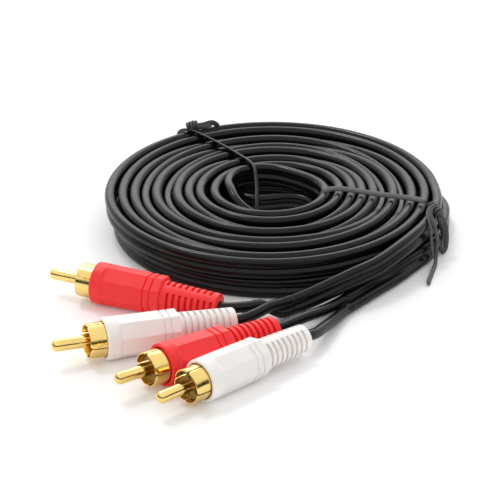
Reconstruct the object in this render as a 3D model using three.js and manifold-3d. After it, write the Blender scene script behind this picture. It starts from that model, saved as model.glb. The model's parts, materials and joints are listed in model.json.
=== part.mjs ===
// Stereo phono lead: a twin cable wound into a flat coil, held by two twist ties,
// with two moulded phono plugs on each end. Millimetres, +Z up, standing on z = 0.

import * as THREE from 'three';
import { mergeVertices } from 'three/addons/utils/BufferGeometryUtils.js';
import Module from 'manifold-3d';

const wasm = await Module();
wasm.setup();

// Clearance between pieces that seat in or against each other
const SEAT_GAP = 0.3;

// Cable: two round cores moulded side by side
const CORE_DIAMETER = 3.0;
const TWIN_WIDTH = 6.0;
const DIELECTRIC_DIAMETER = 2.0;
const CONDUCTOR_DIAMETER = 0.6;

// Coil: two layers of twin cable standing on edge
const COIL_LAYERS = 2;
const LAYER_GAP = 0.05;
const COIL_CENTRE = { x: 5.0, y: 15.3 };
const COIL_RADIUS = 46.2;
const LOWER_INSET = 0.8;
const LOWER_OFFSET = 1.4;
const HOLE_RADIUS = 13.6;
const HOLE_OFFSET = { x: 4.0, y: 0.9 };
const COIL_EDGE_ROUND = 1.2;

// Centre pin
const PIN_DIAMETER = 3.2;
const PIN_REACH = 13.8;
const PIN_EMBEDDED = 3.4;
const PIN_FLANGE_DIAMETER = 4.0;
const PIN_FLANGE_LENGTH = 0.8;
const CUP_DIAMETER = 2.2;
const CUP_LENGTH = 3.0;

// Ground shell: slotted ring, neck and crimp claw drawn from one sheet
const SHELL_DIAMETER = 9.2;
const SHELL_WALL = 0.45;
const SHELL_REACH = 4.5;
const SHELL_EMBEDDED = 2.0;
const SHELL_LIP = 0.25;
const SHELL_SLOTS = 4;
const SHELL_SLOT_WIDTH = 0.4;
const SHELL_NOTCH = 0.9;
const NECK_DIAMETER = 7.0;
const NECK_LENGTH = 4.6;
const CLAW_WALL = 0.4;
const CLAW_LENGTH = 6.0;
const CLAW_ARM_WIDTH = 1.6;

// Moulded grip and strain relief, one piece
const COLLAR_DIAMETER = 11.3;
const COLLAR_LENGTH = 2.6;
const COLLAR_ROUND = 0.5;
const FLAT_BLEND_LENGTH = 1.2;
const GRIP_REAR_DIAMETER = 10.9;
const GRIP_SIDES = 8;
const GRIP_LENGTH = 19.8;
const SHOULDER_LENGTH = 0.4;
const SHOULDER_DIAMETER = 10.2;
const GRIP_GROOVES = 2;
const GROOVE_START = 15.5;
const GROOVE_PITCH = 1.9;
const GROOVE_WIDTH = 0.5;
const GROOVE_DEPTH = 0.4;
const BOOT_LENGTH = 15.6;
const BOOT_FRONT_DIAMETER = 8.5;
const BOOT_END_DIAMETER = 7.2;
const BOOT_END_ROUND = 0.5;
const BOOT_SLOTS = 8;
const BOOT_SLOT_START = 1.1;
const BOOT_SLOT_PITCH = 1.75;
const BOOT_SLOT_WIDTH = 0.75;
const BOOT_SLOT_DEPTH = 1.1;
const BOOT_SLOT_HALF_ANGLE = 39;

// How far the stripped end of each lead reaches into its plug
const JACKET_INSET = 9.4;

// Twist ties: plastic-covered wire strip round the section of the coil
const TIE_WIDTH = 1.5;
const TIE_THICKNESS = 0.6;
const TIE_CORNER = 2.0;
const KNOT_DIAMETER = 3.0;
const TIE_TAIL_DIAMETER = 1.4;

// Facets round each kind of revolved form
const BODY_SIDES = 24;
const SHELL_SIDES = 16;
const PIN_SIDES = 12;
const COIL_SIDES = 60;
const COIL_EDGE_FACETS = 2;
const CORD_SIDES = 8;
const TIE_SIDES = 5;
const TIE_CORNER_FACETS = 3;

// Sizes worked out from the ones above
const CORE_RADIUS = CORE_DIAMETER / 2;
const LAYER_HEIGHT = TWIN_WIDTH + LAYER_GAP;
const COIL_HEIGHT = COIL_LAYERS * LAYER_HEIGHT;
const HOLE_CENTRE = { x: COIL_CENTRE.x + HOLE_OFFSET.x, y: COIL_CENTRE.y + HOLE_OFFSET.y };
const SHELL_RADIUS = SHELL_DIAMETER / 2;
const NECK_RADIUS = NECK_DIAMETER / 2;
const NECK_END = SHELL_EMBEDDED + NECK_LENGTH;
const CLAW_END = NECK_END + CLAW_LENGTH;
const CLAW_BORE_RADIUS = CORE_RADIUS + SEAT_GAP;
const CLAW_RADIUS = CLAW_BORE_RADIUS + CLAW_WALL;
const COLLAR_RADIUS = COLLAR_DIAMETER / 2;
const BODY_LENGTH = GRIP_LENGTH + SHOULDER_LENGTH + BOOT_LENGTH;
const BOOT_START = GRIP_LENGTH + SHOULDER_LENGTH;
const TIE_RISE = TIE_THICKNESS / 2 + SEAT_GAP;

// Everything round the coil is placed by its bearing from the coil's centre, in degrees,
// and how far it lies beyond the coil's edge.

// Plugs as they lie: centre of the collar's front face, heading of the lead, roll of the
// moulding on the axis, and how far the shell is turned in it
const RED = 0xf04a4a;
const WHITE = 0xf2eeea;
const PLUGS = [
  { name: 'red_a', colour: RED, bearing: -135.2, beyond: 19.0, heading: -22.0, roll: -13, shellTurn: 23 },
  { name: 'white_a', colour: WHITE, bearing: -118.8, beyond: 42.9, heading: 19.4, roll: 48, shellTurn: 0 },
  { name: 'red_b', colour: RED, bearing: -106.7, beyond: 49.8, heading: 36.0, roll: 43, shellTurn: 0 },
  { name: 'white_b', colour: WHITE, bearing: -100.0, beyond: 55.5, heading: 42.2, roll: 78, shellTurn: -24 },
];

// Routes of the uncoiled twins, from the coil towards the plugs.
// Each point is bearing, distance beyond the edge, height of the middle, and lean in degrees.
const TWIN_ROUTES = {
  a: [
    [-8.0, 1.9, 9.3, 0], [-13.9, 1.9, 9.3, 0], [-20.1, 1.9, 9.3, 0], [-26.1, 2.0, 9.3, 0],
    [-34.7, 2.3, 9.3, 0], [-43.5, 3.0, 9.0, 0], [-55.0, 4.7, 8.2, 0], [-63.9, 5.8, 7.5, 0],
    [-72.8, 6.7, 6.1, 0], [-81.0, 8.5, 4.7, 0], [-86.4, 10.6, 4.0, 0],
  ],
  b: [
    [58.6, 2.0, 3.05, 0], [46.8, 2.1, 3.05, 0], [35.0, 2.4, 3.05, 0], [23.3, 2.6, 3.05, 0],
    [12.5, 3.4, 3.05, 0], [4.5, 4.4, 3.05, 0], [-2.4, 4.1, 3.05, 0], [-9.6, 3.8, 3.05, 0],
    [-16.3, 3.8, 3.05, 0], [-20.2, 3.8, 3.05, 0], [-25.4, 3.5, 3.05, 4], [-35.0, 2.8, 3.0, 15],
    [-44.9, 3.2, 2.8, 35], [-56.0, 4.8, 2.4, 58], [-65.9, 8.4, 2.1, 72], [-70.0, 10.6, 2.05, 72],
  ],
};

// Routes of the single leads between the split of the twin and the mouth of each boot.
// Each point is bearing, distance beyond the edge, and height.
const LEAD_ROUTES = {
  red_a: [[-86.9, 10.8, 2.5], [-89.6, 11.7, 2.7], [-92.7, 12.7, 3.2], [-96.2, 13.9, 4.0]],
  white_a: [[-86.9, 10.9, 5.55], [-89.8, 12.9, 5.7], [-92.8, 16.2, 5.2], [-95.1, 18.6, 4.8]],
  red_b: [[-71.4, 9.7, 2.5], [-75.6, 12.5, 2.9], [-80.6, 16.3, 3.7], [-85.0, 20.5, 4.3]],
  white_b: [[-69.7, 12.1, 1.6], [-74.0, 16.8, 2.1], [-77.9, 22.4, 3.2], [-80.6, 27.0, 4.2]],
};

// Each tie: the direction it runs in from the hole, how far its loop reaches beyond the
// coil's radius, and its two tails as bearing, distance beyond the edge, and height
const TIES = [
  {
    name: 'twist_tie_right', heading: -16, beyond: 2.7,
    tails: [
      [[-13.7, 3.4, 13.6], [-17.7, 6.6, 12.2], [-24.3, 8.5, 7.6], [-32.5, 10.2, 3.2], [-41.2, 10.4, 1.0]],
      [[-13.7, 3.4, 13.6], [-15.2, 6.4, 12.0], [-18.1, 8.0, 8.2], [-22.6, 8.8, 4.8], [-27.2, 8.7, 2.6]],
    ],
  },
  {
    name: 'twist_tie_left', heading: 128, beyond: 2.3,
    tails: [
      [[123.6, 0.1, 14.0], [120.0, 1.5, 14.4], [115.3, 3.0, 14.0]],
      [[123.6, 0.1, 14.0], [118.8, -1.4, 15.2], [111.7, -1.3, 15.0], [107.7, -1.6, 13.2]],
    ],
  },
];

const GOLD = { color: 0xe3bc58, roughness: 0.22, metalness: 1 };
const JACKET = { color: 0x1b1b1d, roughness: 0.35, metalness: 0 };
const TIE_PLASTIC = { color: 0x3a3b3d, roughness: 0.55, metalness: 0 };
const INSULATION = { color: 0xe9e4d8, roughness: 0.5, metalness: 0 };
const COPPER = { color: 0xb8673a, roughness: 0.35, metalness: 1 };

function degrees(angle) {
  return THREE.MathUtils.degToRad(angle);
}

// Place in plan of a bearing and a distance beyond the coil's edge
function roundCoil(bearing, beyond) {
  const reach = COIL_RADIUS + beyond;
  return [
    COIL_CENTRE.x + reach * Math.cos(degrees(bearing)),
    COIL_CENTRE.y + reach * Math.sin(degrees(bearing)),
  ];
}

function routePoints(route) {
  return route.map(([bearing, beyond, height]) => new THREE.Vector3(...roundCoil(bearing, beyond), height));
}

function namedMesh(name, geometry, finish) {
  const mesh = new THREE.Mesh(geometry, new THREE.MeshStandardMaterial(finish));
  mesh.name = name;
  return mesh;
}

// Solid and geometry conversions for joins and cuts

function weldedTriangles(geometry) {
  const bare = geometry.clone();
  bare.deleteAttribute('normal');
  bare.deleteAttribute('uv');
  const welded = mergeVertices(bare);
  const triangles = [];
  for (let i = 0; i < welded.index.count; i += 3) {
    const [a, b, c] = [welded.index.getX(i), welded.index.getX(i + 1), welded.index.getX(i + 2)];
    if (a !== b && b !== c && c !== a) triangles.push(a, b, c);
  }
  return { positions: welded.attributes.position.array, triangles };
}

function solidOf(geometry) {
  const { positions, triangles } = weldedTriangles(geometry);
  return new wasm.Manifold(new wasm.Mesh({
    numProp: 3,
    vertProperties: new Float32Array(positions),
    triVerts: new Uint32Array(triangles),
  }));
}

function geometryOf(solid) {
  const mesh = solid.getMesh();
  const geometry = new THREE.BufferGeometry();
  geometry.setAttribute('position', new THREE.BufferAttribute(mesh.vertProperties, 3));
  geometry.setIndex(new THREE.BufferAttribute(mesh.triVerts, 1));
  return geometry;
}

// A profile of [radius, distance] points turned about the plug's own axis, local +X
function revolve(profile, sides, startAngle = 0) {
  const points = profile.map(([radius, along]) => new THREE.Vector2(radius, along));
  const geometry = new THREE.LatheGeometry(points, sides, startAngle);
  return geometry.rotateZ(-Math.PI / 2);
}

// A quarter round between two directions in a profile
function quarterRound(centreRadius, centreAlong, radius, fromAngle, toAngle, steps = 3) {
  const points = [];
  for (let i = 0; i <= steps; i += 1) {
    const angle = degrees(fromAngle + ((toAngle - fromAngle) * i) / steps);
    points.push([centreRadius + radius * Math.cos(angle), centreAlong + radius * Math.sin(angle)]);
  }
  return points;
}

// Plug pieces, each on the plug's axis with the collar's front face at 0

function centrePin() {
  const radius = PIN_DIAMETER / 2;
  const tip = -PIN_REACH;
  const flangeEnd = PIN_EMBEDDED;
  const cupEnd = flangeEnd + CUP_LENGTH;
  const cupBore = CONDUCTOR_DIAMETER / 2 + SEAT_GAP;
  return revolve([
    [0, tip],
    ...quarterRound(0, tip + radius, radius, -60, 0, 4),
    [radius, flangeEnd - PIN_FLANGE_LENGTH],
    [PIN_FLANGE_DIAMETER / 2, flangeEnd - PIN_FLANGE_LENGTH],
    [PIN_FLANGE_DIAMETER / 2, flangeEnd],
    [CUP_DIAMETER / 2, flangeEnd],
    [CUP_DIAMETER / 2, cupEnd],
    [cupBore, cupEnd],
    [cupBore, flangeEnd],
    [0, flangeEnd],
  ], PIN_SIDES);
}

function shellWall() {
  const inner = SHELL_RADIUS - SHELL_WALL;
  const neckInner = NECK_RADIUS - SHELL_WALL;
  return solidOf(revolve([
    [inner, SHELL_EMBEDDED - SHELL_WALL],
    [inner, -SHELL_REACH + SHELL_LIP],
    [inner - SHELL_LIP / 2, -SHELL_REACH],
    [SHELL_RADIUS - SHELL_LIP, -SHELL_REACH],
    [SHELL_RADIUS, -SHELL_REACH + SHELL_LIP * 2],
    [SHELL_RADIUS, SHELL_EMBEDDED],
    [NECK_RADIUS, SHELL_EMBEDDED],
    [NECK_RADIUS, NECK_END],
    [CLAW_BORE_RADIUS, NECK_END],
    [CLAW_BORE_RADIUS, NECK_END - SHELL_WALL],
    [neckInner, NECK_END - SHELL_WALL],
    [neckInner, SHELL_EMBEDDED - SHELL_WALL],
    [inner, SHELL_EMBEDDED - SHELL_WALL],
  ], SHELL_SIDES));
}

// Crimp claw: the lower half of a tube, closed round the jacket by a pair of arms at its end
function shellClaw() {
  const start = NECK_END - SHELL_WALL;
  const tube = solidOf(revolve([
    [CLAW_BORE_RADIUS, start],
    [CLAW_RADIUS, start],
    [CLAW_RADIUS, CLAW_END],
    [CLAW_BORE_RADIUS, CLAW_END],
    [CLAW_BORE_RADIUS, start],
  ], SHELL_SIDES));
  const openLength = CLAW_LENGTH - CLAW_ARM_WIDTH;
  const opening = new THREE.BoxGeometry(openLength, CLAW_RADIUS * 3, CLAW_RADIUS * 2);
  opening.translate(NECK_END + openLength / 2, 0, CLAW_RADIUS);
  const armSplit = new THREE.BoxGeometry(CLAW_LENGTH * 2, SHELL_SLOT_WIDTH, CLAW_RADIUS * 2);
  armSplit.translate(NECK_END + CLAW_LENGTH, 0, CLAW_RADIUS);
  return tube.subtract(solidOf(opening)).subtract(solidOf(armSplit));
}

function groundShell(turn) {
  let shell = shellWall().add(shellClaw());
  const slotLength = SHELL_REACH * 2;
  for (let i = 0; i < SHELL_SLOTS; i += 1) {
    const slot = new THREE.BoxGeometry(slotLength, SHELL_SLOT_WIDTH, SHELL_RADIUS);
    slot.translate(-SHELL_REACH, 0, SHELL_RADIUS);
    slot.rotateX((Math.PI * 2 * (i + 0.5)) / SHELL_SLOTS);
    const notch = new THREE.BoxGeometry(SHELL_NOTCH, SHELL_NOTCH, SHELL_RADIUS);
    notch.rotateZ(Math.PI / 4).translate(-SHELL_REACH, 0, SHELL_RADIUS);
    notch.rotateX((Math.PI * 2 * (i + 0.5)) / SHELL_SLOTS);
    shell = shell.subtract(solidOf(slot)).subtract(solidOf(notch));
  }
  return geometryOf(shell).rotateX(degrees(turn));
}

// Bush between pin and shell, with a recess for the pin's flange
function insulator() {
  const front = SEAT_GAP;
  const webFace = SHELL_EMBEDDED - SHELL_WALL - SEAT_GAP;
  const flangeRadius = SHELL_RADIUS - SHELL_WALL - SEAT_GAP;
  const bodyRadius = NECK_RADIUS - SHELL_WALL - SEAT_GAP;
  const bore = PIN_DIAMETER / 2 + SEAT_GAP;
  const recess = PIN_FLANGE_DIAMETER / 2 + SEAT_GAP;
  const recessFace = PIN_EMBEDDED - PIN_FLANGE_LENGTH - SEAT_GAP;
  const rear = NECK_END - SHELL_WALL - SEAT_GAP;
  return revolve([
    [bore, front],
    [flangeRadius, front],
    [flangeRadius, webFace],
    [bodyRadius, webFace],
    [bodyRadius, rear],
    [recess, rear],
    [recess, recessFace],
    [bore, recessFace],
    [bore, front],
  ], SHELL_SIDES);
}

// Round outside of the grip and boot
function roundedBody() {
  const bootEnd = BOOT_END_DIAMETER / 2;
  return solidOf(revolve([
    [0, 0],
    ...quarterRound(COLLAR_RADIUS - COLLAR_ROUND, COLLAR_ROUND, COLLAR_ROUND, -90, 0),
    [COLLAR_RADIUS, GRIP_LENGTH],
    [SHOULDER_DIAMETER / 2, BOOT_START],
    [BOOT_FRONT_DIAMETER / 2, BOOT_START],
    ...quarterRound(bootEnd - BOOT_END_ROUND, BODY_LENGTH - BOOT_END_ROUND, BOOT_END_ROUND, 0, 90, 2),
    [0, BODY_LENGTH],
  ], BODY_SIDES, Math.PI / BODY_SIDES));
}

// Eight-sided outside of the grip: it fades into the round collar and carries the rear grooves
function flattedBody() {
  const clear = COLLAR_RADIUS / Math.cos(Math.PI / GRIP_SIDES) + SEAT_GAP;
  const cornerStart = COLLAR_RADIUS;
  const cornerEnd = GRIP_REAR_DIAMETER / 2;
  const flatStart = COLLAR_LENGTH + FLAT_BLEND_LENGTH;
  const { mapLinear } = THREE.MathUtils;
  const cornerAt = (along) => mapLinear(along, flatStart, GRIP_LENGTH, cornerStart, cornerEnd);
  const profile = [[0, -SEAT_GAP], [clear, -SEAT_GAP], [clear, COLLAR_LENGTH], [cornerStart, flatStart]];
  for (let i = 0; i < GRIP_GROOVES; i += 1) {
    const from = GROOVE_START + GROOVE_PITCH * i - GROOVE_WIDTH / 2;
    const to = from + GROOVE_WIDTH;
    profile.push([cornerAt(from), from], [cornerAt(from) - GROOVE_DEPTH, from]);
    profile.push([cornerAt(to) - GROOVE_DEPTH, to], [cornerAt(to), to]);
  }
  profile.push([cornerEnd, GRIP_LENGTH], [SHOULDER_DIAMETER / 2, BOOT_START]);
  profile.push([clear, BOOT_START], [clear, BODY_LENGTH + SEAT_GAP], [0, BODY_LENGTH + SEAT_GAP]);
  return solidOf(revolve(profile, GRIP_SIDES, Math.PI / GRIP_SIDES));
}

// Stepped hollow that the shell, its claw and the lead fill, with a clearance all round
function bodyHollow() {
  const shellBore = SHELL_RADIUS + SEAT_GAP;
  const neckBore = NECK_RADIUS + SEAT_GAP;
  const clawBore = CLAW_RADIUS + SEAT_GAP;
  const leadBore = CORE_RADIUS + SEAT_GAP;
  return solidOf(revolve([
    [0, -SEAT_GAP],
    [shellBore, -SEAT_GAP],
    [shellBore, SHELL_EMBEDDED + SEAT_GAP],
    [neckBore, SHELL_EMBEDDED + SEAT_GAP],
    [neckBore, NECK_END + SEAT_GAP],
    [clawBore, NECK_END + SEAT_GAP],
    [clawBore, CLAW_END + SEAT_GAP],
    [leadBore, CLAW_END + SEAT_GAP],
    [leadBore, BODY_LENGTH + SEAT_GAP],
    [0, BODY_LENGTH + SEAT_GAP],
  ], PIN_SIDES));
}

function bootRadiusAt(along) {
  const front = BOOT_FRONT_DIAMETER / 2;
  return THREE.MathUtils.mapLinear(along, BOOT_START, BODY_LENGTH, front, BOOT_END_DIAMETER / 2);
}

// Cross slots that let the boot bend: four rows, neighbouring rows half a pitch apart
function bootSlots() {
  const rows = 4;
  const cutters = [];
  for (let row = 0; row < rows; row += 1) {
    for (let i = 0; i < BOOT_SLOTS; i += 1) {
      const stagger = (row % 2) / 2;
      const along = BOOT_START + BOOT_SLOT_START + BOOT_SLOT_PITCH * (i + stagger);
      const radius = bootRadiusAt(along);
      const span = 2 * radius * Math.sin(degrees(BOOT_SLOT_HALF_ANGLE));
      const cutter = new THREE.BoxGeometry(BOOT_SLOT_WIDTH, span, radius);
      cutter.translate(along, 0, radius * 1.5 - BOOT_SLOT_DEPTH);
      cutter.rotateX((Math.PI * 2 * row) / rows);
      cutters.push(solidOf(cutter));
    }
  }
  return cutters;
}

function mouldedBody() {
  let body = roundedBody().intersect(flattedBody()).subtract(bodyHollow());
  for (const cutter of bootSlots()) body = body.subtract(cutter);
  return geometryOf(body);
}

// Stripped end of the lead: insulated core and bare conductor
function dielectric() {
  const radius = DIELECTRIC_DIAMETER / 2;
  const bore = CONDUCTOR_DIAMETER / 2 + SEAT_GAP;
  const start = PIN_EMBEDDED + CUP_LENGTH + SEAT_GAP;
  const end = JACKET_INSET - SEAT_GAP;
  return revolve([[bore, start], [radius, start], [radius, end], [bore, end], [bore, start]], CORD_SIDES);
}

function conductor() {
  const radius = CONDUCTOR_DIAMETER / 2;
  const start = PIN_EMBEDDED + SEAT_GAP;
  const end = JACKET_INSET - SEAT_GAP;
  return revolve([[0, start], [radius, start], [radius, end], [0, end]], CORD_SIDES);
}

// How far the lowest corner of the eight-sided rear reaches below the plug's axis
function lowestRearCorner(roll) {
  const pitch = 360 / GRIP_SIDES;
  const offDown = Math.abs(THREE.MathUtils.euclideanModulo(roll, pitch) - pitch / 2);
  return (GRIP_REAR_DIAMETER / 2) * Math.cos(degrees(offDown));
}

// Places a plug on the surface, resting on its collar and on the rear corner of its grip
function placePlug(plug, group) {
  const drop = COLLAR_RADIUS - lowestRearCorner(plug.roll);
  const tilt = Math.atan2(drop, GRIP_LENGTH - COLLAR_ROUND);
  group.rotation.set(degrees(plug.roll), tilt, degrees(plug.heading), 'ZYX');
  group.position.set(...roundCoil(plug.bearing, plug.beyond), 0);
  group.updateMatrixWorld(true);
  group.position.z = -new THREE.Box3().setFromObject(group, true).min.z;
  group.updateMatrixWorld(true);
}

function plugPieces(plug) {
  const group = new THREE.Group();
  const moulding = { color: plug.colour, roughness: 0.4, metalness: 0 };
  group.add(
    namedMesh(`${plug.name}_centre_pin`, centrePin(), GOLD),
    namedMesh(`${plug.name}_ground_shell`, groundShell(plug.shellTurn), GOLD),
    namedMesh(`${plug.name}_insulator`, insulator(), INSULATION),
    namedMesh(`${plug.name}_moulded_body`, mouldedBody(), moulding),
    namedMesh(`${plug.name}_dielectric`, dielectric(), INSULATION),
    namedMesh(`${plug.name}_conductor`, conductor(), COPPER),
  );
  return group;
}

// Cable

function ovalSection(width, thickness, sides) {
  const straight = (width - thickness) / 2;
  const points = [];
  for (let i = 0; i < sides; i += 1) {
    const angle = (Math.PI * 2 * (i + 0.5)) / sides;
    const end = Math.sign(Math.cos(angle)) * straight;
    const radius = thickness / 2;
    points.push(new THREE.Vector2(end + radius * Math.cos(angle), radius * Math.sin(angle)));
  }
  return new THREE.Shape(points);
}

function sweep(section, curve, steps) {
  return new THREE.ExtrudeGeometry(section, { steps, extrudePath: curve, bevelEnabled: false });
}

// Turns the swept section about the route by the lean given at each point of it
function leanSection(geometry, curve, steps, leans) {
  const position = geometry.attributes.position;
  const rings = curve.getSpacedPoints(steps);
  const point = new THREE.Vector3();
  for (let i = 0; i < position.count; i += 1) {
    point.fromBufferAttribute(position, i);
    const distances = rings.map((ring) => ring.distanceToSquared(point));
    const ring = distances.indexOf(Math.min(...distances));
    const axis = curve.getTangentAt(ring / steps);
    const place = curve.getUtoTmapping(ring / steps) * (leans.length - 1);
    const from = Math.min(Math.floor(place), leans.length - 2);
    const lean = THREE.MathUtils.lerp(leans[from], leans[from + 1], place - from);
    point.sub(rings[ring]).applyAxisAngle(axis, degrees(lean)).add(rings[ring]);
    position.setXYZ(i, point.x, point.y, point.z);
  }
  return geometry;
}

function twinLead(route) {
  const curve = new THREE.CatmullRomCurve3(routePoints(route));
  const steps = Math.round(curve.getLength() / (TWIN_WIDTH * 1.2));
  const section = ovalSection(TWIN_WIDTH, CORE_DIAMETER, CORD_SIDES);
  const swept = sweep(section, curve, steps);
  return leanSection(swept, curve, steps, route.map(([, , , lean]) => lean));
}

// Single lead: straight along the plug's axis inside the boot, then along its route
function singleLead(plug, group) {
  const along = [JACKET_INSET, (JACKET_INSET + BODY_LENGTH) / 2, BODY_LENGTH, BODY_LENGTH + CORE_RADIUS];
  const inside = along.map((distance) => new THREE.Vector3(distance, 0, 0).applyMatrix4(group.matrixWorld));
  const outside = routePoints(LEAD_ROUTES[plug.name]);
  const curve = new THREE.CatmullRomCurve3([...outside, ...inside.reverse()]);
  const steps = Math.round(curve.getLength() / (CORE_DIAMETER * 0.9));
  return sweep(ovalSection(CORE_DIAMETER, CORE_DIAMETER, CORD_SIDES), curve, steps);
}

function layerDisc(radius, offset, from, to) {
  const round = COIL_EDGE_ROUND;
  const points = [
    [0, from],
    ...quarterRound(radius - round, from + round, round, -90, 0, COIL_EDGE_FACETS),
    ...quarterRound(radius - round, to - round, round, 0, 90, COIL_EDGE_FACETS),
    [0, to],
  ].map(([distance, height]) => new THREE.Vector2(distance, height));
  const disc = new THREE.LatheGeometry(points, COIL_SIDES);
  return solidOf(disc.rotateX(Math.PI / 2).translate(COIL_CENTRE.x + offset, COIL_CENTRE.y, 0));
}

function cableCoil() {
  const lower = layerDisc(COIL_RADIUS - LOWER_INSET, LOWER_OFFSET, 0, LAYER_HEIGHT + COIL_EDGE_ROUND);
  const upper = layerDisc(COIL_RADIUS, 0, LAYER_HEIGHT, COIL_HEIGHT);
  const hole = new THREE.CylinderGeometry(HOLE_RADIUS, HOLE_RADIUS, COIL_HEIGHT * 2, COIL_SIDES / 2);
  hole.rotateX(Math.PI / 2).translate(HOLE_CENTRE.x, HOLE_CENTRE.y, COIL_HEIGHT / 2);
  return lower.add(upper).subtract(solidOf(hole));
}

// Twist ties

// Loop of strip round the section of the coil, standing in the plane of its heading
function tieLoop(tie, growth) {
  const inner = HOLE_RADIUS - TIE_RISE;
  const outer = COIL_RADIUS + tie.beyond;
  const half = TIE_THICKNESS / 2 + growth;
  const bottom = TIE_THICKNESS / 2;
  const top = COIL_HEIGHT + TIE_RISE;
  const outline = roundedRectangle(inner - half, bottom - half, outer + half, top + half, TIE_CORNER);
  const hollow = roundedRectangle(inner + half, bottom + half, outer - half, top - half, TIE_CORNER / 2);
  outline.holes.push(hollow);
  const width = TIE_WIDTH + growth * 2;
  const settings = { depth: width, bevelEnabled: false, curveSegments: TIE_CORNER_FACETS };
  const strip = new THREE.ExtrudeGeometry(outline, settings);
  strip.translate(0, 0, -width / 2).rotateX(Math.PI / 2).rotateZ(degrees(tie.heading));
  return solidOf(strip.translate(HOLE_CENTRE.x, HOLE_CENTRE.y, 0));
}

function roundedRectangle(left, low, right, high, round) {
  const shape = new THREE.Shape();
  shape.moveTo(left + round, low);
  shape.lineTo(right - round, low);
  shape.absarc(right - round, low + round, round, -Math.PI / 2, 0);
  shape.lineTo(right, high - round);
  shape.absarc(right - round, high - round, round, 0, Math.PI / 2);
  shape.lineTo(left + round, high);
  shape.absarc(left + round, high - round, round, Math.PI / 2, Math.PI);
  shape.lineTo(left, low + round);
  shape.absarc(left + round, low + round, round, Math.PI, Math.PI * 1.5);
  return shape;
}

function tieTail(points) {
  const curve = new THREE.CatmullRomCurve3(routePoints(points));
  const steps = Math.round(curve.getLength() / (TIE_TAIL_DIAMETER * 2));
  return solidOf(sweep(ovalSection(TIE_TAIL_DIAMETER, TIE_TAIL_DIAMETER, TIE_SIDES), curve, steps));
}

function twistTie(tie) {
  const [start] = routePoints(tie.tails[0]);
  const knot = new THREE.SphereGeometry(KNOT_DIAMETER / 2, TIE_SIDES * 2, TIE_SIDES);
  knot.translate(start.x, start.y, start.z);
  let solid = tieLoop(tie, 0).add(solidOf(knot));
  for (const tail of tie.tails) solid = solid.add(tieTail(tail));
  return solid;
}

// Assembly

function dentedBy(solid, clearances) {
  return clearances.reduce((dented, clearance) => dented.subtract(clearance), solid);
}

function buildLead() {
  const lead = new THREE.Group();
  const dents = TIES.map((tie) => tieLoop(tie, SEAT_GAP));
  lead.add(namedMesh('cable_coil', geometryOf(dentedBy(cableCoil(), dents)), JACKET));
  for (const [name, route] of Object.entries(TWIN_ROUTES)) {
    const twin = dentedBy(solidOf(twinLead(route)), dents);
    lead.add(namedMesh(`twin_lead_${name}`, geometryOf(twin), JACKET));
  }
  for (const plug of PLUGS) {
    const group = plugPieces(plug);
    placePlug(plug, group);
    lead.add(group, namedMesh(`${plug.name}_lead`, singleLead(plug, group), JACKET));
  }
  for (const tie of TIES) lead.add(namedMesh(tie.name, geometryOf(twistTie(tie)), TIE_PLASTIC));
  return lead;
}

// Stands the whole on z = 0 with the middle of its footprint at the origin
function centreOnFootprint(lead) {
  lead.updateMatrixWorld(true);
  const box = new THREE.Box3().setFromObject(lead, true);
  const centre = box.getCenter(new THREE.Vector3());
  lead.position.set(-centre.x, -centre.y, -box.min.z);
  lead.updateMatrixWorld(true);
  return lead;
}

export default centreOnFootprint(buildLead());
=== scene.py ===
import json
import math

import bmesh
import bpy
from mathutils import Matrix, Vector

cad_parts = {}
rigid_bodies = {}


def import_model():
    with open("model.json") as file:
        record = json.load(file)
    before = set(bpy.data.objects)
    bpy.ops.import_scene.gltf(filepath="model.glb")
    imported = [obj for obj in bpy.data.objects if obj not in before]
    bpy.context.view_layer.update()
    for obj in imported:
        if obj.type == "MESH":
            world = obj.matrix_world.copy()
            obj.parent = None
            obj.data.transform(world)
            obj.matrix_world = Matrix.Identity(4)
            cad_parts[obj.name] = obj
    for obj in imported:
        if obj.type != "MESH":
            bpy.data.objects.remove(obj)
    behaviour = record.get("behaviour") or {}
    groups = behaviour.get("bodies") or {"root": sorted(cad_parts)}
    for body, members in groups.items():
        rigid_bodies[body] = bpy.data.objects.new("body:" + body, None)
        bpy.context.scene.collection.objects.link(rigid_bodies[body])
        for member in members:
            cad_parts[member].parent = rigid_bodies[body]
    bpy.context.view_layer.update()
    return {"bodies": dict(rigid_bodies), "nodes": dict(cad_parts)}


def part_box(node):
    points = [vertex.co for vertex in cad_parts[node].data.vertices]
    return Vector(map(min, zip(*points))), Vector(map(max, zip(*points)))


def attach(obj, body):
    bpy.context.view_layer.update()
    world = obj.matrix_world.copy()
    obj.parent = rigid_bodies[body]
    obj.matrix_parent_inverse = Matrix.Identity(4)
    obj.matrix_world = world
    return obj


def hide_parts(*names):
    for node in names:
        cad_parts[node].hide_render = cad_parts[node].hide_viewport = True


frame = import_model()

bl_info = {
    "name": "Coiled Phono Lead",
    "version": (1, 0, 0),
    "blender": (4, 5, 0),
    "location": "View3D > Sidebar > Phono Lead",
    "description": "Builds a coiled stereo phono lead with moulded plugs and twist ties",
    "category": "Add Mesh",
}

MM = 0.001

# The coil's upper layer, whose lowest x and y corner ties the routes below to the CAD model
COIL_CENTRE = (5.0, 15.3)
COIL_RADIUS = 46.2

# Middle of the central hole, and the distance of each turn from it to the right and left
HOLE_CENTRE = (9.0, 16.5)
UPPER_RIGHT = [43.7, 40.4, 36.9, 34.0, 31.6, 28.6, 26.1, 22.9, 19.9, 16.4, 12.4]
UPPER_LEFT = [48.6, 45.2, 41.8, 38.5, 35.4, 32.5, 29.6, 26.2, 23.2, 19.2]
LOWER_RIGHT = [19.2, 22.3, 25.4, 28.5, 31.7, 34.9, 38.1, 41.6, 46.2]
LOWER_LEFT = [20.4, 24.1, 27.8, 31.6, 35.3, 39.0, 42.8, 46.5]
UPPER_HEIGHT = 9.05
LOWER_HEIGHT = 3.05

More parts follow.
